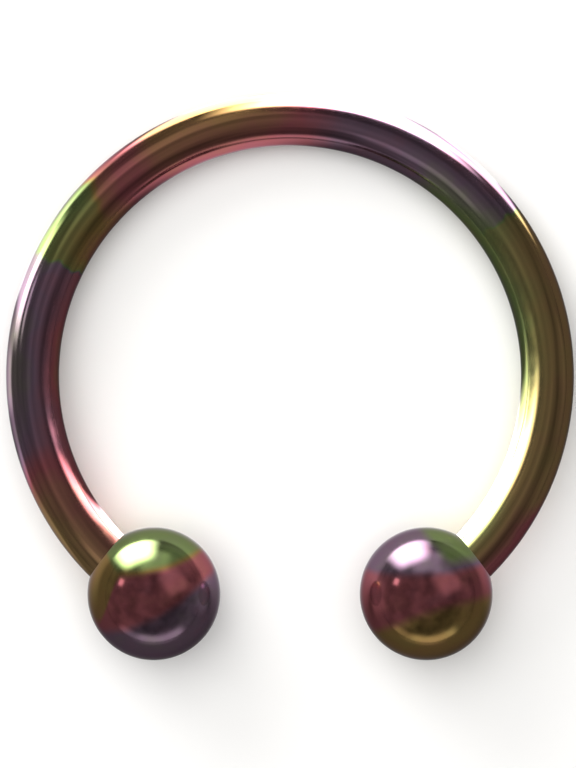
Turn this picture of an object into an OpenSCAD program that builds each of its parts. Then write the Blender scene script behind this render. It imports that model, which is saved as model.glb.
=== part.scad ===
// Horseshoe barbell: a polished round bar, bent to an open circle, with a ball
// screwed onto each threaded end. It is drawn lying on its side, as it rests on
// a table: on both balls and on the far side of the bar. The mouth between the
// balls faces -Y, +Z is up, and the origin is on the table, under the middle
// of the whole piece.

/* [Bar] */
// Diameter of the bar's round wire
wire_d = 1.6; // [1.4:0.1:2.4]
// Diameter of the open circle inside the bar
inner_d = 14; // [10:0.5:20]
// Clear width of the mouth, from ball to ball
mouth_w = 4.2; // [3.8:0.1:8]
// Width of the bevel round each end of the wire
bevel_w = 0.1; // [0.05:0.05:0.2]

/* [Thread] */
// Outside diameter of the threaded post on each end of the bar
thread_d = 1.2; // [0.8:0.05:1.25]
// Length of each threaded post, from the wire's end to its tip
thread_l = 2.2; // [1.6:0.1:2.4]
// Length of the cone on each post's tip
tip_l = 0.15; // [0.05:0.05:0.3]

/* [Balls] */
// Diameter of each ball
ball_d = 4; // [3.6:0.1:5]
// Width of the countersink at the mouth of the ball's threaded hole
sink_w = 0.05; // [0.02:0.01:0.1]
// Angle of the cone that the drill leaves at the end of the hole
drill_angle = 118; // [90:1:140]
// Depth of the ball's round seat for the end of the wire
seat_l = 0.15; // [0.1:0.05:0.2]

/* [Clearances] */
// Between the thread's outside and the wall of the ball's hole
thread_gap = 0.03; // [0.02:0.01:0.06]
// Between the end of the wire and the floor of its seat in the ball
shoulder_gap = 0.02; // [0.01:0.01:0.05]
// Between the side of the wire and the wall of that seat
seat_gap = 0.04; // [0.03:0.01:0.06]
// Between the post's tip and the end of the hole's straight wall
tip_gap = 0.2; // [0.1:0.05:0.4]

/* [Hidden] */
$fn = 96;

wire_r = wire_d / 2;
thread_r = thread_d / 2;
ball_r = ball_d / 2;
bend_r = inner_d / 2 + wire_r; // from the circle's centre to the wire's
overlap = 0.3; // how far a post runs back into the wire, to be one solid with it
spare_l = 0.5; // how far the bend runs on, before its end is faced off
run_out = 1; // how far a cutting tool runs past the surface it cuts

// Along the axis of one end, from the face of the wire out to the ball.
hole_r = thread_r + thread_gap;
rim_r = hole_r + sink_w;
rim_at = shoulder_gap; // the seat's floor, with the rim of the hole in it
seat_r = wire_r + seat_gap;
seat_from = rim_at - seat_l; // where the seat's wall meets the outside of the ball
ball_at = seat_from + sqrt(pow(ball_r, 2) - pow(seat_r, 2));
hole_end = thread_l + tip_gap;
drill_tip_l = hole_r / tan(drill_angle / 2);

// In the plane of the circle, as angles at its centre, from -Y. The balls'
// centres lie on the wire's own circle, so each post turns in by a few degrees.
ball_angle = asin((mouth_w / 2 + ball_r) / bend_r);
toe_in = asin(ball_at / 2 / bend_r);
end_angle = ball_angle + 2 * toe_in;
spare_angle = spare_l / bend_r * 180 / PI;

// The balls are thicker than the wire, so the circle leans when it lies down.
ball_back = bend_r * cos(ball_angle); // how far the balls' centres lie towards -Y
lean = asin((ball_r - wire_r) / (bend_r + ball_back));
circle_up = bend_r * sin(lean) + wire_r;
front_reach = ball_back * cos(lean) + ball_r;
far_reach = bend_r * cos(lean) + wire_r;

// Lays what is drawn in the circle's own plane down on the table.
module laid_down() {
    translate([0, (front_reach - far_reach) / 2, circle_up])
        rotate([-lean, 0, 0])
            children();
}

// Puts what is drawn along +Z on the bar's left end, pointing at its ball.
module at_left_end() {
    translate([-bend_r * sin(end_angle), -bend_r * cos(end_angle), 0])
        rotate([0, 90, toe_in - end_angle])
            children();
}

module at_right_end() {
    mirror([1, 0, 0])
        at_left_end()
            children();
}

// The bent wire, an arc that runs past both of its ends.
module bend() {
    rotate([0, 0, end_angle - spare_angle - 90])
        rotate_extrude(angle = 360 - 2 * (end_angle - spare_angle))
            translate([bend_r, 0])
                circle(r = wire_r);
}

// The tool that faces off the end of the wire and bevels its edge.
module facing_tool() {
    face_r = wire_r - bevel_w;
    rotate_extrude()
        polygon([
            [0, 0],
            [face_r, 0],
            [face_r + run_out, -run_out],
            [face_r + run_out, run_out],
            [0, run_out]
        ]);
}

// The post, at its thread's outside diameter, with a cone on its tip.
module post() {
    rotate_extrude()
        polygon([
            [0, -overlap],
            [thread_r, -overlap],
            [thread_r, thread_l - tip_l],
            [thread_r - tip_l, thread_l],
            [0, thread_l]
        ]);
}

module curved_bar() {
    color("#6d5a6b")
        laid_down() {
            difference() {
                bend();
                at_left_end() facing_tool();
                at_right_end() facing_tool();
            }
            at_left_end() post();
            at_right_end() post();
        }
}

// The tool that bores a ball: its seat for the wire's end, its countersink, its
// hole and the drill's cone.
module boring_tool() {
    rotate_extrude()
        polygon([
            [0, rim_at - run_out],
            [seat_r, rim_at - run_out],
            [seat_r, rim_at],
            [rim_r, rim_at],
            [hole_r, rim_at + sink_w],
            [hole_r, hole_end],
            [0, hole_end + drill_tip_l]
        ]);
}

module ball() {
    difference() {
        translate([0, 0, ball_at])
            sphere(r = ball_r);
        boring_tool();
    }
}

module ball_left() {
    color("#7c4c50")
        laid_down()
            at_left_end()
                ball();
}

module ball_right() {
    color("#75613c")
        laid_down()
            at_right_end()
                ball();
}

curved_bar();
ball_left();
ball_right();
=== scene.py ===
"""Horseshoe barbell: a bent, threaded bar of anodised titanium with a screw-on ball on each end.

The shapes repeat part.scad's sizes. Work is in millimetres until a mesh is made, in two frames: the
circle's own plane (centre at the origin, mouth towards -Y), and an end's frame (+Z out of the wire's end,
towards the ball). laid_down() puts the circle's plane on the table, in metres, as the CAD model is.
"""

import math

import bpy
import numpy as np
from bpy.props import FloatProperty, FloatVectorProperty, PointerProperty
from mathutils import Matrix


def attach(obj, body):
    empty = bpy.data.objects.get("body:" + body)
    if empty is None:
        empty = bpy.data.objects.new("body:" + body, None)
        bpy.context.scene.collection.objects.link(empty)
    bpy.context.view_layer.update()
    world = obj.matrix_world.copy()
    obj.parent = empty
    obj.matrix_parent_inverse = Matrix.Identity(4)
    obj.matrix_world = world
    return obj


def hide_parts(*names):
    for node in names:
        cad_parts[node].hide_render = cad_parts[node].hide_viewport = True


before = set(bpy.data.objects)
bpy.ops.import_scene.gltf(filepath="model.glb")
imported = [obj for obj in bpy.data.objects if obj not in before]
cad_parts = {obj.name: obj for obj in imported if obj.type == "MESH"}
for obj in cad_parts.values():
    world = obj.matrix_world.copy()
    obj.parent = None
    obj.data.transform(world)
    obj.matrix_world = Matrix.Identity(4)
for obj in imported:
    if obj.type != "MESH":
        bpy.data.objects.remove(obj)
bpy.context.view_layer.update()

bl_info = {
    "name": "Horseshoe Barbell",
    "version": (1, 0, 0),
    "blender": (4, 5, 0),
    "location": "View3D > Sidebar > Barbell",
    "description": "Builds an anodised titanium horseshoe barbell and its small studio",
    "category": "Add Mesh",
}

MM = 0.001


def linear(hex_colour):
    """The linear RGB of an sRGB hex colour such as "7b6a4a"."""
    srgb = np.array([int(hex_colour[i : i + 2], 16) for i in (0, 2, 4)]) / 255
    low = srgb / 12.92
    high = ((srgb + 0.055) / 1.055) ** 2.4
    return tuple(float(c) for c in np.where(srgb <= 0.04045, low, high))


def length(name, description, default):
    return FloatProperty(name=name, description=description, default=default * MM, unit="LENGTH", precision=6)


def angle(name, description, default):
    return FloatProperty(name=name, description=description, default=math.radians(default), subtype="ANGLE")


def colour(name, description, hex_colour):
    return FloatVectorProperty(
        name=name, description=description, default=linear(hex_colour), subtype="COLOR", min=0, max=1
    )


class BARBELL_PG_sizes(bpy.types.PropertyGroup):
    wire_d: length("Wire diameter", "Diameter of the bar's round wire", 1.6)
    inner_d: length("Circle diameter", "Diameter of the open circle inside the bar", 14)
    mouth_w: length("Mouth width", "Clear width between the balls", 4.2)
    bevel_w: length("Bevel width", "Width of the bevel round each end of the wire", 0.1)
    ball_d: length("Ball diameter", "Diameter of each ball", 4)
    sink_w: length("Countersink width", "Width of the countersink at the mouth of the ball's hole", 0.05)
    drill_angle: angle("Drill angle", "Angle of the cone that the drill leaves", 118)
    seat_l: length("Seat depth", "Depth of the ball's round seat for the end of the wire", 0.15)
    thread_d: length("Thread diameter", "Outside diameter of the threaded posts", 1.2)
    thread_l: length("Thread length", "Length of each threaded post", 2.2)
    tip_l: length("Tip cone length", "Length of the cone on each post's tip", 0.15)
    pitch: length("Thread pitch", "Distance from one crest of the thread to the next", 0.25)
    thread_gap: length("Thread gap", "Between the thread's outside and the wall of the hole", 0.03)
    shoulder_gap: length("Shoulder gap", "Between the end of the wire and the floor of its seat", 0.02)
    seat_gap: length("Seat gap", "Between the side of the wire and the wall of its seat", 0.04)
    tip_gap: length("Tip gap", "Between the post's tip and the end of the hole's wall", 0.2)


class BARBELL_PG_film(bpy.types.PropertyGroup):
    gold: colour("Gold film", "Base colour of the gold bands", "7a6542")
    olive: colour("Olive-gold film", "Base colour of the gold band at the far side", "765f38")
    rose: colour("Rose film", "Base colour of the rose bands", "80474b")
    violet: colour("Violet film", "Base colour of the violet bands", "614f5d")
    green: colour("Green film", "Base colour of the green bands", "5c6a40")
    roughness: FloatProperty(
        name="Roughness", description="Roughness of the polish", default=0.13, min=0, max=1, subtype="FACTOR"
    )


class BARBELL_PG_studio(bpy.types.PropertyGroup):
    floor: colour("Floor", "Colour of the plain pale floor", "f4f3f1")
    ceiling: FloatProperty(name="Ceiling", description="Radiance overhead", default=0.36, min=0)
    mirrored: FloatProperty(
        name="Mirrored floor", description="Share of the floor's brightness that the metal mirrors",
        default=0.36, min=0, max=1, subtype="FACTOR"
    )


def settings():
    return bpy.context.scene.barbell_sizes, bpy.context.scene.barbell_film, bpy.context.scene.barbell_studio


class Layout:
    """The lengths and angles that part.scad derives, in millimetres and radians."""

    def __init__(self):
        sizes = settings()[0]
        for name in sizes.__annotations__:
            value = getattr(sizes, name)
            setattr(self, name, value if name == "drill_angle" else value / MM)
        self.wire_r = self.wire_d / 2
        self.thread_r = self.thread_d / 2
        self.ball_r = self.ball_d / 2
        self.bend_r = self.inner_d / 2 + self.wire_r
        self.hole_r = self.thread_r + self.thread_gap
        self.rim_r = self.hole_r + self.sink_w
        self.seat_r = self.wire_r + self.seat_gap
        self.seat_from = self.shoulder_gap - self.seat_l
        self.ball_at = self.seat_from + math.sqrt(self.ball_r**2 - self.seat_r**2)
        self.hole_end = self.thread_l + self.tip_gap
        self.ball_angle = math.asin((self.mouth_w / 2 + self.ball_r) / self.bend_r)
        self.toe_in = math.asin(self.ball_at / 2 / self.bend_r)
        self.end_angle = self.ball_angle + 2 * self.toe_in
        ball_back = self.bend_r * math.cos(self.ball_angle)
        self.lean = math.asin((self.ball_r - self.wire_r) / (self.bend_r + ball_back))
        self.circle_up = self.bend_r * math.sin(self.lean) + self.wire_r
        front_reach = ball_back * math.cos(self.lean) + self.ball_r
        far_reach = self.bend_r * math.cos(self.lean) + self.wire_r
        self.circle_y = (front_reach - far_reach) / 2

    def laid_down(self, points):
        """The circle's plane leans back about X, rises to rest on the table, and becomes metres."""
        x, y, z = points[..., 0], points[..., 1], points[..., 2]
        c, s = math.cos(self.lean), math.sin(self.lean)
        down = np.stack([x, c * y + s * z + self.circle_y, -s * y + c * z + self.circle_up], -1)
        return down * MM

    def on_axis(self, along, right):
        """The point of an end's axis at a distance from the wire's face, in the circle's plane."""
        return self.at_end(0.0, 0.0, along, right)

    def ball_centre(self, right):
        """A ball's centre on the table, in millimetres."""
        return self.laid_down(self.on_axis(self.ball_at, right)) / MM

    def end_frame(self):
        """The left end's origin and its three axes: up, across, and out towards the ball."""
        origin = np.array([-math.sin(self.end_angle), -math.cos(self.end_angle), 0]) * self.bend_r
        turn = self.toe_in - self.end_angle
        out = np.array([math.cos(turn), math.sin(turn), 0])
        up = np.array([0, 0, 1.0])
        return origin, up, np.cross(out, up), out

    def at_end(self, radius, theta, along, right=False):
        """Points at a radius and angle round an end's axis and a distance along it; mirrored on the right."""
        origin, up, across, out = self.end_frame()
        radius, theta, along = np.broadcast_arrays(radius, theta, along)
        p = (
            origin
            + (radius * np.cos(theta))[..., None] * up
            + (radius * np.sin(theta))[..., None] * across
            + along[..., None] * out
        )
        return p * np.array([-1.0, 1, 1]) if right else p


def smooth(t):
    """Smoothstep: 3t^2 - 2t^3, with t held between 0 and 1."""
    t = np.clip(t, 0, 1)
    return t * t * (3 - 2 * t)


def grid_quads(rows, columns, first=0, flip=False):
    """Corner numbers of the quads of a rows x columns grid of points that is closed across its columns."""
    row = np.arange(rows - 1)[:, None]
    column = np.arange(columns)[None, :]
    after = (column + 1) % columns
    low, high = row * columns, (row + 1) * columns
    quads = np.stack([low + column, low + after, high + after, high + column], -1).reshape(-1, 4)
    return (quads[:, ::-1] if flip else quads) + first


def fan(ring, pole, flip=False):
    """Triangles from a closed ring of points to one pole."""
    tris = np.stack([ring, np.roll(ring, -1), np.full_like(ring, pole)], -1)
    return tris[:, ::-1] if flip else tris


def mesh_piece(name, points, quads, triangles, material, film=None, grain=None):
    """A mesh object at the origin from whole arrays: points in metres, quads, triangles, the film's order at
    each point, and where each point reads the pattern of its polishing lines."""
    mesh = bpy.data.meshes.new(name)
    corners = np.concatenate([quads.ravel(), triangles.ravel()]).astype(np.int32)
    totals = np.concatenate([np.full(len(quads), 4), np.full(len(triangles), 3)]).astype(np.int32)
    starts = np.concatenate([[0], np.cumsum(totals)[:-1]]).astype(np.int32)
    mesh.vertices.add(len(points))
    mesh.vertices.foreach_set("co", points.astype(np.float32).ravel())
    mesh.loops.add(len(corners))
    mesh.loops.foreach_set("vertex_index", corners)
    mesh.polygons.add(len(totals))
    mesh.polygons.foreach_set("loop_start", starts)
    mesh.polygons.foreach_set("loop_total", totals)
    mesh.update(calc_edges=True)
    if film is not None:
        mesh.attributes.new("film", "FLOAT", "POINT").data.foreach_set("value", film.astype(np.float32))
    if grain is not None:
        values = mesh.attributes.new("grain", "FLOAT_VECTOR", "POINT").data
        values.foreach_set("vector", grain.astype(np.float32).ravel())
    mesh.materials.append(material)
    mesh.shade_smooth()
    mesh.set_sharp_from_angle(angle=math.radians(30))
    if mesh.validate():
        raise RuntimeError(f"{name} had faces that Blender had to mend")
    piece = bpy.data.objects.new(name, mesh)
    bpy.context.scene.collection.objects.link(piece)
    return piece


def thread_radius(theta, along, crest, root, pitch):
    """A thread's radius at an angle and a distance along its axis: a 60 degree V with a flat crest an eighth
    of the pitch wide, that climbs one pitch in one turn."""
    phase = np.abs((along / pitch - theta / (2 * np.pi)) % 1 - 0.5) * 2
    flank = np.clip((phase - 0.125) / 0.75, 0, 1)
    return crest + (root - crest) * flank


# How finely the shapes are cut: points round the wire and round a ball, rings along the wire and over a ball,
# and rings to one turn of a thread.
AROUND, ALONG_WIRE, OVER_BALL, PER_PITCH = 112, 440, 113, 20
ROOT_DEPTH = 0.61  # depth of the thread on a post, in pitches, as on a standard metric thread
NUT_DEPTH = 0.07  # depth of the thread cut into a ball's hole, in millimetres
RUN_IN = 0.8  # length over which a post's thread rises out of its root, in pitches
FADE = 0.5  # the same for the thread in a ball, at both of its ends
LINE_STEP = 0.06  # width of a polishing line as drawn, in millimetres; real ones are about 0.005
LINE_LENGTH = 3.0  # length of a polishing line along the wire, in millimetres
BALL_LINE_STEP = 0.12  # the same on a ball, where the lines go every way

# Film order round the wire at ring angles in degrees, anticlockwise from +X, seen from above. The order
# counts the colours that a thickening film goes through: 0 gold, 1 rose, 2 violet, 3 green, 4 olive-gold,
# 5 rose, 6 violet, 7 green, 8 gold, 9 rose. Columns: angle, outer side, top, inner side, underside.
BAR_BANDS = np.array(
    [
        (226, 0.0, 0.35, 0.9, 0.4),
        (208, 0.0, 0.6, 1.0, 0.8),
        (203, 0.6, 1.0, 1.0, 1.0),
        (201, 1.1, 1.1, 1.1, 1.1),
        (197, 2.0, 1.7, 1.2, 1.6),
        (190, 2.0, 1.95, 0.9, 1.4),
        (182, 2.0, 2.0, 0.4, 1.0),
        (172, 2.0, 2.0, 0.5, 1.0),
        (165, 2.0, 2.0, 1.0, 1.3),
        (158, 2.0, 1.9, 1.1, 1.8),
        (154.8, 2.3, 2.1, 1.1, 1.8),
        (154.0, 2.9, 3.4, 3.5, 3.4),
        (150, 3.0, 3.4, 4.5, 3.9),
        (139, 3.0, 3.5, 4.5, 4.2),
        (136.5, 4.8, 4.5, 4.5, 4.5),
        (131, 5.0, 5.0, 5.1, 5.0),
        (127, 4.9, 5.0, 5.1, 5.0),
        (121, 4.2, 4.4, 5.1, 4.9),
        (98, 4.0, 4.3, 5.1, 4.8),
        (91, 4.3, 4.9, 5.1, 5.0),
        (85, 5.1, 5.2, 5.2, 5.2),
        (79, 5.9, 5.9, 5.8, 5.8),
        (60, 6.0, 6.0, 6.1, 6.2),
        (50, 6.0, 6.0, 7.2, 6.9),
        (40, 6.0, 6.1, 7.4, 7.2),
        (35.6, 6.2, 6.3, 7.3, 7.2),
        (34.8, 7.7, 7.5, 6.8, 7.1),
        (29, 8.0, 7.8, 6.7, 7.2),
        (8, 8.0, 7.85, 6.8, 7.3),
        (-4, 8.0, 8.0, 7.1, 7.9),
        (-20, 8.0, 8.0, 7.3, 8.1),
        (-27, 8.2, 8.1, 7.3, 8.4),
        (-33, 9.4, 7.95, 6.9, 8.9),
        (-50, 9.9, 7.8, 6.7, 9.0),
    ]
)


def bar_film(ring_angle, around):
    """Film order on the wire. Along the bar each column of BAR_BANDS is read straight between its rows. Round
    the wire the four readings join in the one smooth wave (mean, cos, sin, cos of twice the angle)
    that passes through all four. Slow sines keep the bands from being ruled lines."""
    wobble = 1.1 * np.sin(2 * around + 0.05 * ring_angle) + 0.8 * np.sin(3 * around - 0.11 * ring_angle + 1)
    wobble += 0.35 * np.sin(7 * around + 2) + 0.2 * np.sin(13 * around + 0.4 * ring_angle)
    at = (ring_angle + wobble).ravel()
    order = np.argsort(BAR_BANDS[:, 0])
    rows = BAR_BANDS[order]
    columns = (np.interp(at, rows[:, 0], column) for column in rows[:, 1:].T)
    outer, top, inner, under = (column.reshape(around.shape) for column in columns)
    return (
        (outer + top + inner + under) / 4
        + (outer - inner) / 2 * np.cos(around)
        + (top - under) / 2 * np.sin(around)
        + (outer + inner - top - under) / 4 * np.cos(2 * around)
    )


def polished_bar(at, material):
    """The bar. Its wire is a circle of points carried along an arc: at angle a round the wire, the point is
    bend_r + wire_r cos a from the circle's centre and wire_r sin a above its plane. Each such line runs
    until it meets the bevel, a 45 degree cone round the post's axis, found by halving. Then come the flat
    face and the threaded post, a thread_radius() surface held inside the cone of its tip."""
    columns, rows = AROUND, ALONG_WIRE
    around = np.arange(columns) * 2 * np.pi / columns
    reach = at.bend_r + at.wire_r * np.cos(around)
    height = at.wire_r * np.sin(around)
    face_r = at.wire_r - at.bevel_w
    origin, up, across, out = at.end_frame()

    def on_wire(psi):
        return np.stack([-reach * np.sin(psi), -reach * np.cos(psi), np.broadcast_to(height, psi.shape)], -1)

    def past_cone(psi):
        p = on_wire(psi) - origin
        along = p @ out
        return np.linalg.norm(p - along[..., None] * out, axis=-1) - (face_r - along)

    low = np.full(columns, at.end_angle - 0.2)
    high = np.full(columns, at.end_angle + 0.2)
    for _ in range(50):
        middle = (low + high) / 2
        outside = past_cone(middle) > 0
        low, high = np.where(outside, middle, low), np.where(outside, high, middle)
    start = (low + high) / 2

    share = np.linspace(0, 1, rows)[:, None]
    psi = start + (2 * np.pi - 2 * start) * share
    wire = on_wire(psi)
    ring_angle = 270 - np.degrees(psi)
    film = bar_film(ring_angle, np.broadcast_to(around, psi.shape))
    # polishing lines follow the wire, drawn coarse enough to show, and read from a tube of noise so that
    # they have no seam
    tube = np.stack([np.cos(around), np.sin(around)], -1) * at.wire_r / LINE_STEP
    grain = np.concatenate(
        [psi[..., None] * at.bend_r / LINE_LENGTH, np.broadcast_to(tube, (*psi.shape, 2))], -1
    )

    # one end, from the wire's edge inwards and then out along the post
    edge = wire[0] - origin
    along = edge @ out
    theta = np.arctan2(edge @ across, edge @ up)
    flat_r = np.array([face_r, (face_r + at.thread_r) / 2])
    root_r = at.thread_r - ROOT_DEPTH * at.pitch
    post_rows = int(round(at.thread_l / at.pitch * PER_PITCH))
    z = np.linspace(0, at.thread_l, post_rows + 1)[:, None]
    run_in = smooth(z / (RUN_IN * at.pitch))
    threaded = thread_radius(theta, z, at.thread_r, root_r, at.pitch)
    post_r = root_r + (threaded - root_r) * run_in
    post_r = np.minimum(post_r, at.thread_r - at.tip_l + (at.thread_l - z))
    end_r = np.concatenate([np.broadcast_to(flat_r[:, None], (2, columns)), post_r, post_r[-1:] * 0.5])
    end_z = np.concatenate([np.zeros((2, 1)), z, z[-1:]])
    end_z = np.broadcast_to(end_z, end_r.shape)

    pieces, quads, tris = [wire.reshape(-1, 3)], [grid_quads(rows, columns)], []
    films, grains = [film.ravel()], [grain.reshape(-1, 3)]
    count = rows * columns
    for right in (False, True):
        skin = at.at_end(end_r, theta, end_z, right)
        pole = at.on_axis(at.thread_l, right)
        lip = np.arange(columns) + (rows - 1) * columns * right
        first = count + np.arange(columns)
        joint = np.stack([lip, np.roll(lip, -1), np.roll(first, -1), first], -1)
        quads.append(joint if right else joint[:, ::-1])
        quads.append(grid_quads(len(end_r), columns, count, flip=not right))
        tip = count + (len(end_r) - 1) * columns + np.arange(columns)
        tris.append(fan(tip, count + end_r.size, not right))
        pieces += [skin.reshape(-1, 3), pole.reshape(1, 3)]
        order = film[-1 if right else 0][None, :] + 0.25 * np.sin(end_z * 2)
        films.append(np.append(order.ravel(), order[-1, 0]))
        turned = np.stack([end_z, end_r * np.cos(theta), end_r * np.sin(theta)], -1) / LINE_STEP
        turned = turned.reshape(-1, 3)
        grains.append(np.append(turned, turned[-1:], 0))
        count += end_r.size + 1
    points = at.laid_down(np.concatenate(pieces))
    return mesh_piece(
        "polished_bar",
        points,
        np.concatenate(quads),
        np.concatenate(tris),
        material,
        np.concatenate(films),
        np.concatenate(grains),
    )


def left_ball_film(u, v, w):
    """Film order on the left ball from u to the right, v away and w up, in radii: green at the far side, then
    olive-gold, rose and violet, each in front of a slanting parabola in u, with a soft edge."""
    to_gold = 0.41 + 0.20 * u + 0.28 * u * u + 0.34 * smooth((-u - 0.48) / 0.35)
    to_rose = to_gold - 0.05 - 0.86 * smooth((-u - 0.45) / 0.38) * 1.3
    to_violet = -0.34 + 0.50 * u + 0.30 * u * u
    v = v - 0.10 * (1 - w) * smooth(-w)
    edges = ((to_gold, 0.16), (to_rose, 0.16), (to_violet, 0.2))
    return 3 + sum(smooth((edge - v) / blend + 0.5) for edge, blend in edges)


def right_ball_film(u, v, w):
    """Film order on the right ball, worked out as on the left one: violet and green at the far side, then
    rose, then olive-gold in front."""
    to_rose = 0.33 + 0.06 * u + 0.12 * u * u
    to_gold = -0.22 + 0.33 * u - 0.12 * u * u
    to_green = 0.25 - 0.8 * (v - 0.57)
    green = smooth((u - to_green) / 0.24 + 0.5) * smooth((v - to_rose) / 0.25)
    v = v - 0.10 * (1 - w) * smooth(-w)
    edges = ((to_rose, 0.16), (to_gold, 0.22))
    return 6 + green - sum(smooth((edge - v) / blend + 0.5) for edge, blend in edges)


def polished_ball(at, name, right, film_of, material):
    """A ball: a profile revolved about the post's axis. The profile is a half circle from the far pole to the
    seat's rim, the seat's wall and floor, the countersink, the hole's wall with its thread cut outwards
    from hole_r, and the drill's cone."""
    columns = AROUND
    theta = np.arange(columns) * 2 * np.pi / columns
    arc = np.linspace(0, math.pi - math.asin(at.seat_r / at.ball_r), OVER_BALL)[1:, None]
    seat_r = np.array([at.seat_r, (at.seat_r + at.rim_r) / 2, at.rim_r])[:, None]
    seat_z = np.full((3, 1), at.shoulder_gap)
    wall_rows = int(round((at.hole_end - at.shoulder_gap - at.sink_w) / at.pitch * PER_PITCH))
    z = np.linspace(at.shoulder_gap + at.sink_w, at.hole_end, wall_rows + 1)[:, None]
    # cut outwards, half a pitch on from the thread of the post
    cut = thread_radius(theta, z + 0.5 * at.pitch, at.hole_r + NUT_DEPTH, at.hole_r, at.pitch)
    fade = smooth((z - z[0]) / (FADE * at.pitch)) * smooth((z[-1] - z) / (FADE * at.pitch))
    wall_r = at.hole_r + (cut - at.hole_r) * fade
    cone = np.array([0.66, 0.33])[:, None]
    cone_z = at.hole_end + at.hole_r * (1 - cone) / math.tan(at.drill_angle / 2)
    radii = (at.ball_r * np.sin(arc), seat_r, wall_r, at.hole_r * cone)
    places = (at.ball_at + at.ball_r * np.cos(arc), seat_z, z, cone_z)
    radius = np.concatenate([np.broadcast_to(r, (len(r), columns)) for r in radii])
    along = np.concatenate([np.broadcast_to(r, (len(r), columns)) for r in places])
    rows = len(radius)
    skin = at.at_end(radius, theta, along, right)
    far = at.on_axis(at.ball_at + at.ball_r, right)
    deep = at.on_axis(at.hole_end + at.hole_r / math.tan(at.drill_angle / 2), right)
    in_plane = np.concatenate([skin.reshape(-1, 3), far.reshape(1, 3), deep.reshape(1, 3)])
    points = at.laid_down(in_plane)
    u, v, w = ((points / MM - at.ball_centre(right)) / at.ball_r).T
    count = rows * columns
    flip = not right
    quads = grid_quads(rows, columns, flip=flip)
    tris = np.concatenate(
        [
            fan(np.arange(columns), count, not flip),
            fan(np.arange(columns) + (rows - 1) * columns, count + 1, flip),
        ]
    )
    return mesh_piece(name, points, quads, tris, material, film_of(u, v, w), points / (BALL_LINE_STEP * MM))


def node(tree, kind, inputs=(), **properties):
    """Adds a node with its properties. inputs gives each named socket a value, or an output to link to it."""
    made = tree.nodes.new(kind)
    for key, value in properties.items():
        setattr(made, key, value)
    for socket, value in dict(inputs).items():
        if isinstance(value, bpy.types.NodeSocket):
            tree.links.new(value, made.inputs[socket])
        else:
            made.inputs[socket].default_value = value
    return made


def new_material(name):
    material = bpy.data.materials.new(name)
    material.use_nodes = True
    material.node_tree.nodes.clear()
    return material, material.node_tree


def anodised_titanium(name):
    """Titanium alloy bar stock, turned, bent, polished and anodised. To the eye: a dark, deeply coloured
    mirror, because the film's interference eats most of the light and leaves one hue; bands of gold, rose,
    violet and green with soft edges; faint cloudiness in each band; and fine polishing lines, along the
    wire, and every way on a ball."""
    film = settings()[1]
    material, tree = new_material(name)
    place = node(tree, "ShaderNodeTexCoord").outputs["Object"]
    order = node(tree, "ShaderNodeAttribute", attribute_name="film", attribute_type="GEOMETRY")
    order = order.outputs["Fac"]
    # clouds in the film, 0.9 mm across, with finer ones in them
    size = 0.9 * MM
    clouds = node(
        tree, "ShaderNodeTexNoise", {"Vector": place, "Scale": 1 / size, "Detail": 3.0, "Roughness": 0.6}
    )
    shift = node(
        tree,
        "ShaderNodeMapRange",
        {"Value": clouds.outputs["Fac"], "From Min": 0.25, "From Max": 0.75, "To Min": -0.16, "To Max": 0.16},
    )
    moved = node(tree, "ShaderNodeMath", {0: order, 1: shift.outputs["Result"]}, operation="ADD")
    cycle = [film.rose, film.violet, film.green]
    stops = [film.gold, *cycle, film.olive, *cycle, film.gold, film.rose]
    last = len(stops) - 1
    share = node(tree, "ShaderNodeMath", {0: moved.outputs[0], 1: float(last)}, operation="DIVIDE")
    ramp = node(tree, "ShaderNodeValToRGB", {"Fac": share.outputs[0]})
    band = ramp.color_ramp.elements
    while len(band) < len(stops):
        band.new(0.5)
    for k, stop in enumerate(stops):
        band[k].position = k / last
        band[k].color = (*stop, 1)
    # smears of polish, 0.6 mm across, with a finer grain
    size = 0.6 * MM
    smears = node(
        tree, "ShaderNodeTexNoise", {"Vector": place, "Scale": 1 / size, "Detail": 5.0, "Roughness": 0.7}
    )
    low, high = film.roughness * 0.75, film.roughness * 1.35
    rough = node(
        tree,
        "ShaderNodeMapRange",
        {"Value": smears.outputs["Fac"], "From Min": 0.3, "From Max": 0.7, "To Min": low, "To Max": high},
    )
    # the polishing lines, and the slow waves that a polishing wheel leaves, 2.2 mm across
    grain = node(tree, "ShaderNodeAttribute", attribute_name="grain", attribute_type="GEOMETRY")
    grain = grain.outputs["Vector"]
    lines = node(tree, "ShaderNodeTexNoise", {"Vector": grain, "Scale": 1.0, "Detail": 3.0, "Roughness": 0.6})
    size = 2.2 * MM
    waves = node(
        tree, "ShaderNodeTexNoise", {"Vector": place, "Scale": 1 / size, "Detail": 1.0, "Roughness": 0.4}
    )
    # the lines are about 0.1 microns deep, the waves about 6 microns
    fine = node(
        tree, "ShaderNodeBump", {"Height": lines.outputs["Fac"], "Distance": 0.0004 * MM, "Strength": 1.0}
    )
    slow = node(
        tree,
        "ShaderNodeBump",
        {"Height": waves.outputs["Fac"], "Distance": 0.03 * MM, "Strength": 1.0, "Normal": fine.outputs[0]},
    )
    shader = node(
        tree,
        "ShaderNodeBsdfPrincipled",
        {
            "Base Color": ramp.outputs["Color"],
            "Metallic": 1.0,
            "Roughness": rough.outputs["Result"],
            "Specular Tint": (0.55, 0.52, 0.55, 1.0),
            "Normal": slow.outputs[0],
        },
    )
    node(tree, "ShaderNodeOutputMaterial", {"Surface": shader.outputs[0]})
    return material


# Sockets of a Mix node that mixes colours: its two inputs and its output.
MIX_A, MIX_B, MIXED = 6, 7, 2


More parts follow.
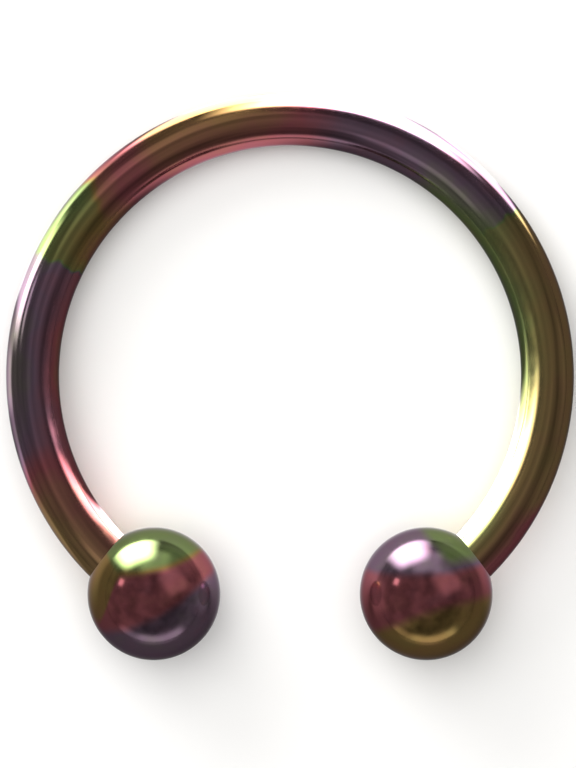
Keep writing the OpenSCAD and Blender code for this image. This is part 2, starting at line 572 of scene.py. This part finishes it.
def white_card(name):
    """Matt white card, uncoated: plain, nearly white and quite without gloss, with a faint paper tooth."""
    studio = settings()[2]
    material, tree = new_material(name)
    place = node(tree, "ShaderNodeTexCoord").outputs["Object"]
    tooth = node(tree, "ShaderNodeTexNoise", {"Vector": place, "Scale": 1 / (0.3 * MM), "Detail": 3.0})
    bump = node(
        tree, "ShaderNodeBump", {"Height": tooth.outputs["Fac"], "Distance": 0.004 * MM, "Strength": 1.0}
    )
    # the camera's exposure burns the card out, and what the metal mirrors of it is as dim as the real card
    mirrored = node(tree, "ShaderNodeLightPath").outputs["Is Glossy Ray"]
    dim = [c * studio.mirrored for c in studio.floor]
    tone = node(
        tree,
        "ShaderNodeMix",
        {"Factor": mirrored, MIX_A: (*studio.floor, 1), MIX_B: (*dim, 1)},
        data_type="RGBA",
    )
    shader = node(
        tree,
        "ShaderNodeBsdfPrincipled",
        {"Base Color": tone.outputs[MIXED], "Roughness": 0.9, "Normal": bump.outputs[0]},
    )
    node(tree, "ShaderNodeOutputMaterial", {"Surface": shader.outputs[0]})
    return material


def floor_disc(material):
    """A flat disc on the table's plane, 3 m across: rings of points at a few radii about the origin."""
    columns = 96
    theta = np.arange(columns) * 2 * np.pi / columns
    radii = np.array([0.075, 0.3, 0.9, 1.5])[:, None]
    rings = np.stack([radii * np.cos(theta), radii * np.sin(theta), 0 * radii * theta], -1)
    points = np.concatenate([rings.reshape(-1, 3), np.zeros((1, 3))])
    quads = grid_quads(len(radii), columns, flip=True)
    tris = fan(np.arange(columns), len(radii) * columns)
    return mesh_piece("floor", points, quads, tris, material)


# Soft lights in the sky: azimuths and elevations in degrees between which each is full, how softly it falls
# off outside them, and its radiance. Azimuth is anticlockwise from +X.
SKY_LIGHTS = [
    ("small_lamp", (154, 161), (27, 32), (4, 4), 3.2),
    ("low_front", (258, 302), (-3, 8), (14, 12), 1.5),
    ("low_left", (232, 246), (-4, 6), (14, 12), 0.7),
]

# Places where the ceiling is darker, given as SKY_LIGHTS are, with the share of the light that is left.
DARK_PATCHES = [
    ("dark_front", (258, 334), (26, 46), (14, 10), 0.6),
    ("dark_back", (58, 84), (46, 62), (18, 10), 0.5),
]

# Soft panels that each light one part alone, as if the other part were flagged from them: name, azimuths and
# elevations between which the panel is full, how softly it falls off, radiance, and what it lights.
FAR_PANELS = [
    ("far_glow", (76, 104), (18, 42), (20, 16), 1.3, "balls"),
    ("side_fill", (18, 52), (38, 58), (22, 18), 0.7, "balls"),
    ("upper_left_glow", (98, 128), (47, 61), (8, 12), 0.6, "bar"),
    ("streak_panel", (218, 236), (50, 58), (16, 12), 0.8, "bar"),
]

# The same, for the bar alone: name, centre, point faced, width and height (millimetres), the shares of the
# width and of the height between which it is full, and radiance.
NEAR_PANELS = [
    ("overhead_panel", (0.0, 0.0, 150.0), (0.0, 0.0, 0.0), 210.0, 210.0, (0.3, 0.7), (0.3, 0.7), 0.07),
    ("top_panel", (4.2, 14.0, 2.7), (4.2, 8.0, 0.7), 18.0, 5.8, (0.34, 0.7), (0.3, 0.75), 14.0),
    ("left_panel", (-13.8, 5.9, 1.6), (-7.0, 3.0, 0.8), 9.0, 5.0, (0.4, 0.6), (0.3, 0.7), 7.0),
    ("inner_right_panel", (-3.4, 4.0, 9.2), (6.4, -4.5, 9.2), 5.9, 18.2, (0.3, 0.7), (0.05, 0.45), 16.0),
    ("inner_left_panel", (4.0, 3.8, 6.2), (-4.0, -3.8, 6.2), 1.8, 12.2, (0.25, 0.75), (0.03, 0.5), 7.0),
]

# Lit cards on the table beside the bar, for it alone, where the photo's floor is burnt out: they show only in
# the metal. Ring angle in degrees, distances from the circle's centre of the card's edge beside the bar and
# of its other edge, length along the bar (millimetres), slope in degrees and radiance.
CARDS = [
    (50, 8.6, 16.0, 8.4, 8, 14.0),
    (70, 8.6, 16.0, 8.4, 8, 22.0),
    (91, 8.6, 16.0, 8.4, 8, 22.0),
    (110, 8.6, 16.0, 7.0, 8, 14.0),
    (133, 8.6, 15.0, 8.0, 8, 2.0),
    (143, 8.6, 15.0, 5.0, 8, 2.4),
    (153, 8.6, 15.0, 9.0, 8, 5.2),
    (173, 8.6, 15.0, 7.0, 8, 2.2),
    (188, 8.6, 15.0, 6.0, 8, 1.4),
    (208, 8.6, 14.0, 8.0, 8, 0.8),
    (-25, 7.1, 2.1, 5.2, 14, 22.0),
    (-42, 7.1, 2.1, 5.2, 14, 24.0),
    (225, 7.1, 2.1, 2.7, 14, 46.0),
    (105, 7.1, 3.4, 6.0, 14, 1.6),
]

# The same for the balls alone, lying flat: name, place along Y, width and depth (millimetres), and radiance.
BALL_CARDS = [
    ("card_behind_balls", -1.0, 32.0, 16.0, 1.1),
    ("card_before_balls", -48.0, 60.0, 74.0, 1.1),
]

# Panels that stand about each ball, for that ball alone: name, the way from the ball's centre (degrees), the
# distance, width, lowest and highest edge (millimetres), the shares of the width and of the height between
# which it is full, and radiance.
BALL_PANELS = {
    "left": [
        ("softbox", 112, 6.0, 7.2, 1.1, 7.2, (0.4, 0.65), (0.16, 0.48), 23.0),
        ("side_glow", 55, 5.0, 7.0, 0.6, 6.4, (0.4, 0.6), (0.3, 0.7), 0.3),
        ("between", 0, 4.1, 4.4, 1.5, 4.4, (0.4, 0.6), (0.4, 0.6), 0.4),
    ],
    "right": [
        ("softbox", 112, 6.0, 7.2, 1.1, 7.2, (0.4, 0.65), (0.16, 0.48), 15.0),
        ("side_glow", 55, 5.0, 7.0, 0.6, 6.4, (0.4, 0.6), (0.3, 0.7), 0.3),
        ("between", 180, 4.1, 4.4, 1.5, 4.4, (0.4, 0.6), (0.4, 0.6), 0.4),
    ],
}

# Lights that whiten the card and aren't mirrored by the metal: name, centre, width and height (millimetres),
# and radiance. They face the origin.
WASHES = [
    ("overhead_wash", (-30.0, 40.0, 260.0), 420.0, 420.0, 2.65),
    ("key_wash", (-86.0, 130.0, 84.0), 150.0, 115.0, 5.4),
]


def light_sky():
    """World light: a dim, mottled ceiling, darker where DARK_PATCHES says, plus SKY_LIGHTS, each a product of
    smoothsteps in azimuth and elevation. The camera sees a plain pale backdrop instead."""
    studio = settings()[2]
    world = bpy.data.worlds.new("studio_sky")
    bpy.context.scene.world = world
    world.use_nodes = True
    tree = world.node_tree
    tree.nodes.clear()
    way = node(tree, "ShaderNodeTexCoord").outputs["Generated"]
    split = node(tree, "ShaderNodeSeparateXYZ", {0: way})
    turn = node(tree, "ShaderNodeMath", {0: split.outputs["Y"], 1: split.outputs["X"]}, operation="ARCTAN2")
    azimuth = node(tree, "ShaderNodeMath", {0: turn.outputs[0], 1: 2 * math.pi}, operation="ADD")
    azimuth = node(tree, "ShaderNodeMath", {0: azimuth.outputs[0], 1: 2 * math.pi}, operation="MODULO")
    rise = node(tree, "ShaderNodeMath", {0: split.outputs["Z"]}, operation="ARCSINE")

    def window(name, sides, heights, soft):
        """One inside a window of the sky, and nothing outside it."""
        patch = None
        for source, (low, high), fade in zip((azimuth, rise), (sides, heights), soft):
            for ends in ((low - fade, low), (high + fade, high)):
                start, full = map(math.radians, ends)
                edge = node(
                    tree,
                    "ShaderNodeMapRange",
                    {"Value": source.outputs[0], "From Min": start, "From Max": full},
                    interpolation_type="SMOOTHSTEP",
                ).outputs[0]
                patch = edge if patch is None else node(
                    tree, "ShaderNodeMath", {0: patch, 1: edge}, operation="MULTIPLY", label=name
                ).outputs[0]
        return patch

    # the dim room overhead is uneven, which a clean mirror shows as soft mottling
    room = node(tree, "ShaderNodeTexNoise", {"Vector": way, "Scale": 2.2, "Detail": 3.0, "Roughness": 0.6})
    low, high = studio.ceiling * 0.5, studio.ceiling * 1.45
    total = node(
        tree,
        "ShaderNodeMapRange",
        {"Value": room.outputs["Fac"], "From Min": 0.32, "From Max": 0.68, "To Min": low, "To Max": high},
    )
    for *place, share in DARK_PATCHES:
        shade = node(tree, "ShaderNodeMapRange", {"Value": window(*place), "To Min": 1.0, "To Max": share})
        total = node(tree, "ShaderNodeMath", {0: total.outputs[0], 1: shade.outputs[0]}, operation="MULTIPLY")
    for *place, radiance in SKY_LIGHTS:
        terms = {0: window(*place), 1: radiance, 2: total.outputs[0]}
        total = node(tree, "ShaderNodeMath", terms, operation="MULTIPLY_ADD")
    lit = node(tree, "ShaderNodeBackground", {"Color": (1, 1, 1, 1), "Strength": total.outputs[0]})
    seen = node(tree, "ShaderNodeBackground", {"Color": (*studio.floor, 1), "Strength": 1.0})
    path = node(tree, "ShaderNodeLightPath")
    parts = {0: path.outputs["Is Camera Ray"], 1: lit.outputs[0], 2: seen.outputs[0]}
    mix = node(tree, "ShaderNodeMixShader", parts)
    node(tree, "ShaderNodeOutputWorld", {"Surface": mix.outputs[0]})


def facing(lamp, centre, aim):
    """Puts a lamp at a point in millimetres, with its front towards another."""
    back = np.array(centre, float) - np.array(aim, float)
    back /= np.linalg.norm(back)
    side = np.cross((0, 1.0, 0) if abs(back[2]) > 0.99 else (0, 0, 1.0), back)
    side /= np.linalg.norm(side)
    up = np.cross(back, side)
    rows = [[*map(float, (side[k], up[k], back[k])), centre[k] * MM] for k in range(3)]
    lamp.matrix_world = Matrix([*rows, (0, 0, 0, 1)])
    lamp.visible_camera = False
    bpy.context.scene.collection.objects.link(lamp)


# The pieces that each kind of light lights. One that lights "all" has no row here.
LIT = {
    "bar": ("polished_bar",),
    "left": ("polished_ball_left",),
    "right": ("polished_ball_right",),
    "balls": ("polished_ball_left", "polished_ball_right"),
}
EVEN = [(0.3, 0.7), (0.3, 0.7)]  # a light that is full over the middle of both its sides


def light_panel(name, centre, aim, size, edges, radiance, spread, lights):
    """A rectangular soft light, in millimetres. Its power, radiance times pi times its area, gives the
    radiance asked for. Across each side it is full between two shares of the side and fades smoothly to
    nothing at its ends, as the cloth of a softbox does. The spread is in degrees, and the last word says
    what it lights."""
    light = bpy.data.lights.new(name, "AREA")
    light.shape = "RECTANGLE"
    light.size, light.size_y = size[0] * MM, size[1] * MM
    light.energy = radiance * math.pi * light.size * light.size_y
    light.spread = math.radians(spread)
    light.use_nodes = True
    tree = light.node_tree
    tree.nodes.clear()
    place = node(tree, "ShaderNodeNewGeometry").outputs["Parametric"]
    apart = node(tree, "ShaderNodeSeparateXYZ", {0: place})
    total = None
    for side, (low, high) in zip("XY", edges):
        for start, full in ((0, low), (1, high)):
            fade = node(
                tree,
                "ShaderNodeMapRange",
                {"Value": apart.outputs[side], "From Min": start, "From Max": full},
                interpolation_type="SMOOTHSTEP",
            ).outputs[0]
            total = fade if total is None else node(
                tree, "ShaderNodeMath", {0: total, 1: fade}, operation="MULTIPLY"
            ).outputs[0]
    glow = node(tree, "ShaderNodeEmission", {"Color": (1, 1, 1, 1), "Strength": total})
    node(tree, "ShaderNodeOutputLight", {"Surface": glow.outputs[0]})
    lamp = bpy.data.objects.new(name, light)
    facing(lamp, centre, aim)
    if lights in LIT:
        lit = bpy.data.collections.new(f"lit_by_{name}")
        for piece in LIT[lights]:
            lit.objects.link(bpy.data.objects[piece])
        lamp.light_linking.receiver_collection = lit
    return lamp


def far_panel(name, sides, heights, soft, radiance, lights):
    """A light_panel() 150 mm away that fills a window of the sky, given as in SKY_LIGHTS. Not for the zenith,
    where a window between two azimuths has no width."""
    distance = 150
    middle = math.radians((sides[0] + sides[1]) / 2)
    rise = math.radians((heights[0] + heights[1]) / 2)
    half = [(high - low) / 2 + s for (low, high), s in zip((sides, heights), soft)]
    size = [2 * distance * math.tan(math.radians(h)) for h in half]
    size[0] *= math.cos(rise)
    edges = [(0.5 * s / h, 1 - 0.5 * s / h) for h, s in zip(half, soft)]
    centre = [
        distance * math.cos(middle) * math.cos(rise),
        distance * math.sin(middle) * math.cos(rise),
        distance * math.sin(rise),
    ]
    light_panel(name, centre, (0, 0, 0), size, edges, radiance, 180, lights)


def light_card(at, ring_angle, near, far, along, slope, radiance):
    """A light_panel() that faces up from the table, one side along the bar. It slopes up, away from the bar,
    so that the far side of the circle sees its dark back."""
    lift = 0.03  # off the table, in millimetres
    slope = math.radians(slope)
    lean = slope if near > far else -slope
    way = np.array([math.cos(math.radians(ring_angle)), math.sin(math.radians(ring_angle))])
    x, y = way * (near + far) / 2 + (0, at.circle_y)
    z = lift + abs(near - far) / 2 * math.tan(slope)
    aim = (x + way[0] * math.sin(lean), y + way[1] * math.sin(lean), z + math.cos(lean))
    edges = [(0.42, 0.58), (0.15, 0.85)]
    size = (along, abs(near - far))
    light_panel(f"card_{ring_angle % 360}", (x, y, z), aim, size, edges, radiance, 172, "bar")


def photo_camera(at):
    """A long lens that looks straight down. The view is how many millimetres, at the height of the circle's
    centre, lie along the picture's long side, and x and y are the point it is aimed at."""
    lens, sensor, view = 150, 36, 23.27
    x, y = -0.061, -0.28
    data = bpy.data.cameras.new("photo_camera")
    data.lens, data.sensor_width, data.sensor_fit = lens, sensor, "AUTO"
    data.clip_start, data.clip_end = 0.001, 20
    camera = bpy.data.objects.new("photo_camera", data)
    camera.location = (x * MM, y * MM, (at.circle_up + view * lens / sensor) * MM)
    bpy.context.scene.collection.objects.link(camera)
    bpy.context.scene.camera = camera


class BARBELL_OT_bar(bpy.types.Operator):
    """Makes the polished bar with its threaded posts, in place of the plain one"""

    bl_idname = "barbell.bar"
    bl_label = "Polished Bar"

    def execute(self, context):
        material = anodised_titanium("anodised_titanium_polished_bar")
        piece = polished_bar(Layout(), material)
        # the photo shows no mirror image of the bar in the balls or in itself
        piece.visible_glossy = False
        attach(piece, "bar")
        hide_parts("curved_bar")
        return {"FINISHED"}


class BARBELL_OT_balls(bpy.types.Operator):
    """Makes the two polished balls with their threaded holes, in place of the plain ones"""

    bl_idname = "barbell.balls"
    bl_label = "Polished Balls"

    def execute(self, context):
        at = Layout()
        for side, right, film_of in (("left", False, left_ball_film), ("right", True, right_ball_film)):
            material = anodised_titanium(f"anodised_titanium_polished_{side}_ball")
            piece = polished_ball(at, f"polished_ball_{side}", right, film_of, material)
            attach(piece, f"{side}_ball")
            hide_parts(f"ball_{side}")
        return {"FINISHED"}


class BARBELL_OT_studio(bpy.types.Operator):
    """Sets up the pale floor, the soft lights and the camera"""

    bl_idname = "barbell.studio"
    bl_label = "Studio"

    def execute(self, context):
        floor_disc(white_card("matt_white_card"))
        light_sky()
        for panel in FAR_PANELS:
            far_panel(*panel)
        for name, centre, aim, width, height, wide, tall, radiance in NEAR_PANELS:
            light_panel(name, centre, aim, (width, height), (wide, tall), radiance, 120, "bar")
        at = Layout()
        for card in CARDS:
            light_card(at, *card)
        for name, y, width, depth, radiance in BALL_CARDS:
            light_panel(name, (0, y, 0.05), (0, y + 0.01, 1.05), (width, depth), EVEN, radiance, 176, "balls")
        for side, panels in BALL_PANELS.items():
            x, y, _ = at.ball_centre(side == "right")
            for name, way, distance, width, low, high, wide, tall, radiance in panels:
                dx, dy = distance * math.cos(math.radians(way)), distance * math.sin(math.radians(way))
                z = (low + high) / 2
                centre, aim, size = (x + dx, y + dy, z), (x, y, z), (width, high - low)
                light_panel(f"{name}_{side}", centre, aim, size, (wide, tall), radiance, 170, side)
        for name, centre, width, height, radiance in WASHES:
            wash = light_panel(name, centre, (0, 0, 0), (width, height), EVEN, radiance, 180, "all")
            wash.visible_glossy = False
        photo_camera(at)
        context.scene.view_settings.view_transform = "Standard"
        return {"FINISHED"}


class BARBELL_PT_panel(bpy.types.Panel):
    bl_label = "Horseshoe Barbell"
    bl_space_type = "VIEW_3D"
    bl_region_type = "UI"
    bl_category = "Barbell"

    def draw(self, context):
        layout = self.layout
        for operator in (BARBELL_OT_bar, BARBELL_OT_balls, BARBELL_OT_studio):
            layout.operator(operator.bl_idname)
        for group in (context.scene.barbell_sizes, context.scene.barbell_film, context.scene.barbell_studio):
            box = layout.box()
            for name in group.__annotations__:
                box.prop(group, name)


GROUPS = {
    "barbell_sizes": BARBELL_PG_sizes,
    "barbell_film": BARBELL_PG_film,
    "barbell_studio": BARBELL_PG_studio,
}
CLASSES = (*GROUPS.values(), BARBELL_OT_bar, BARBELL_OT_balls, BARBELL_OT_studio, BARBELL_PT_panel)


def register():
    for one in CLASSES:
        bpy.utils.register_class(one)
    for name, group in GROUPS.items():
        setattr(bpy.types.Scene, name, PointerProperty(type=group))


def unregister():
    for name in GROUPS:
        delattr(bpy.types.Scene, name)
    for one in reversed(CLASSES):
        bpy.utils.unregister_class(one)


def main():
    register()
    bpy.ops.barbell.bar()
    bpy.ops.barbell.balls()
    bpy.ops.barbell.studio()


if __name__ == "__main__":
    main()
